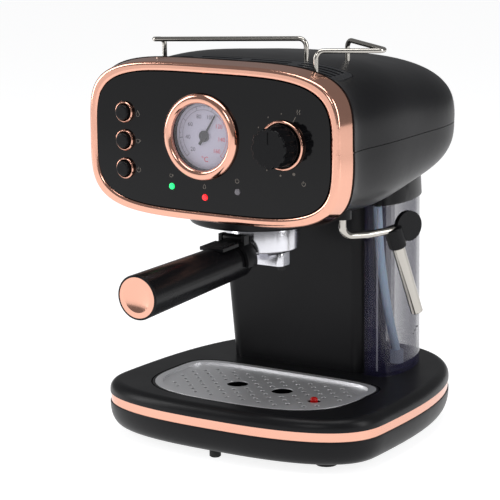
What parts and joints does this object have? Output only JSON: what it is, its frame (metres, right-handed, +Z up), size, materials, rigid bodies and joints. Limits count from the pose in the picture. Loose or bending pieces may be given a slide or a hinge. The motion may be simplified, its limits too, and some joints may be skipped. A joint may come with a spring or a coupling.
{
  "type": "espresso machine",
  "caption": "Counter-top pump espresso machine with a round-cornered head, control panel, locking portafilter, steam wand, clear rear water tank and drip tray.",
  "frame": {"origin": "on the counter, under the middle of the machine's bounding box, portafilter handle included", "axes": "+X to the user's right, +Y from the control panel to the back, +Z up"},
  "size_m": [0.2501, 0.3563, 0.3312],
  "materials": {
    "black_abs": "fine satin moulded ABS",
    "panel_gloss": "high gloss moulded panel",
    "rose_gold": "polished rose gold plating",
    "brushed_steel": "brushed stainless steel",
    "steel_wire": "polished stainless wire and tube",
    "polished_aluminium": "polished die casting",
    "cast_aluminium": "as cast",
    "brass": "machined",
    "plated_steel": "zinc plated",
    "clear_tank": "clear tinted moulding",
    "clear_lens": "clear window",
    "dial_white": "printed dial",
    "needle_grey": "painted pointer",
    "float_red": "moulded red float",
    "led_green": "green lamp lens",
    "led_red": "red lamp lens",
    "led_smoke": "unlit lamp lens",
    "cup_plate_grey": "satin grey moulding",
    "rubber": "moulded rubber",
    "silicone": "silicone hose",
    "board_green": "circuit board"
  },
  "bodies": {
    "machine": {"base_plate": "black_abs", "base_top_cover": "black_abs", "base_tub": "black_abs", "boiler": "cast_aluminium", "button_rings": "rose_gold", "circuit_board": "board_green", "column_back_cover": "black_abs", "column_shell": "black_abs", "control_panel": "panel_gloss", "cord_inlet": "black_abs", "cup_plate": "cup_plate_grey", "cup_rail_left": "steel_wire", "cup_rail_right": "steel_wire", "gauge_bezel": "rose_gold", "gauge_can": "black_abs", "gauge_dial": "dial_white", "gauge_glass": "clear_lens", "group_cover": "black_abs", "group_gasket": "rubber", "group_ring": "cast_aluminium", "head_lower_shell": "black_abs", "head_upper_shell": "black_abs", "hoses": "silicone", "knob_ring": "rose_gold", "led_heating": "led_red", "led_ready": "led_green", "led_steam": "led_smoke", "panel_bezel": "rose_gold", "pump": "black_abs", "rubber_feet": "rubber", "screen_screw": "plated_steel", "shower_screen": "brushed_steel", "steam_valve": "brass", "tank_collar": "black_abs", "tank_seal": "rubber", "thermostats": "plated_steel", "trim_band": "rose_gold", "wand_socket": "black_abs"},
    "drip_tray": {"drip_tray": "black_abs"},
    "drip_grid": {"drip_grid": "brushed_steel"},
    "tray_float": {"tray_float": "float_red"},
    "needle": {"gauge_needle": "needle_grey"},
    "button_brew": {"button_brew": "black_abs"},
    "button_cups": {"button_cups": "black_abs"},
    "button_power": {"button_power": "black_abs"},
    "steam_knob": {"steam_knob": "black_abs", "valve_spindle": "plated_steel"},
    "water_tank": {"water_tank": "clear_tank"},
    "portafilter": {"portafilter_body": "polished_aluminium", "filter_basket": "brushed_steel", "twin_spout": "polished_aluminium", "spout_tips": "rubber", "handle_grip": "black_abs", "handle_end_cap": "rose_gold", "handle_bolt": "plated_steel", "clip_saddle": "black_abs"},
    "basket_clip": {"basket_clip": "black_abs"},
    "steam_wand": {"wand_pipe": "steel_wire", "wand_grip": "black_abs", "wand_nozzle": "steel_wire"}
  },
  "joints": [
    {"name": "drip_tray_lift", "type": "slide", "parent": "machine", "child": "drip_tray", "axis": [0, 0, 1], "range_m": [0, 0.045]},
    {"name": "drip_grid_lift", "type": "slide", "parent": "drip_tray", "child": "drip_grid", "axis": [0, 0, 1], "range_m": [0, 0.03]},
    {"name": "float_rise", "type": "slide", "parent": "drip_tray", "child": "tray_float", "axis": [0, 0, 1], "range_m": [0, 0.008]},
    {"name": "gauge_needle_turn", "type": "hinge", "parent": "machine", "child": "needle", "pos_m": [-0.008, -0.0743, 0.2568], "axis": [0, 1, 0], "range_deg": [-167, 103]},
    {"name": "button_brew_press", "type": "slide", "parent": "machine", "child": "button_brew", "axis": [0, 1, 0], "range_m": [0, 0.003], "stiffness_N_per_m": 300},
    {"name": "button_cups_press", "type": "slide", "parent": "machine", "child": "button_cups", "axis": [0, 1, 0], "range_m": [0, 0.003], "stiffness_N_per_m": 300},
    {"name": "button_power_press", "type": "slide", "parent": "machine", "child": "button_power", "axis": [0, 1, 0], "range_m": [0, 0.003], "stiffness_N_per_m": 300},
    {"name": "steam_knob_turn", "type": "hinge", "parent": "machine", "child": "steam_knob", "pos_m": [0.0655, -0.088, 0.2558], "axis": [0, 1, 0], "range_deg": [-90, 90]},
    {"name": "water_tank_pull", "type": "slide", "parent": "machine", "child": "water_tank", "axis": [0, 1, 0], "range_m": [0, 0.15]},
    {"name": "portafilter_turn", "type": "hinge", "parent": "machine", "child": "portafilter", "pos_m": [0, -0.005, 0.17], "axis": [0, 0, 1], "range_deg": [-45, 0]},
    {"name": "basket_clip_flip", "type": "hinge", "parent": "portafilter", "child": "basket_clip", "pos_m": [0, -0.0465, 0.1734], "axis": [1, 0, 0], "range_deg": [-12, 0]},
    {"name": "steam_wand_swing", "type": "hinge", "parent": "machine", "child": "steam_wand", "pos_m": [0.0845, -0.022, 0.19], "axis": [0, 0, 1], "range_deg": [-100, 12]}
  ]
}
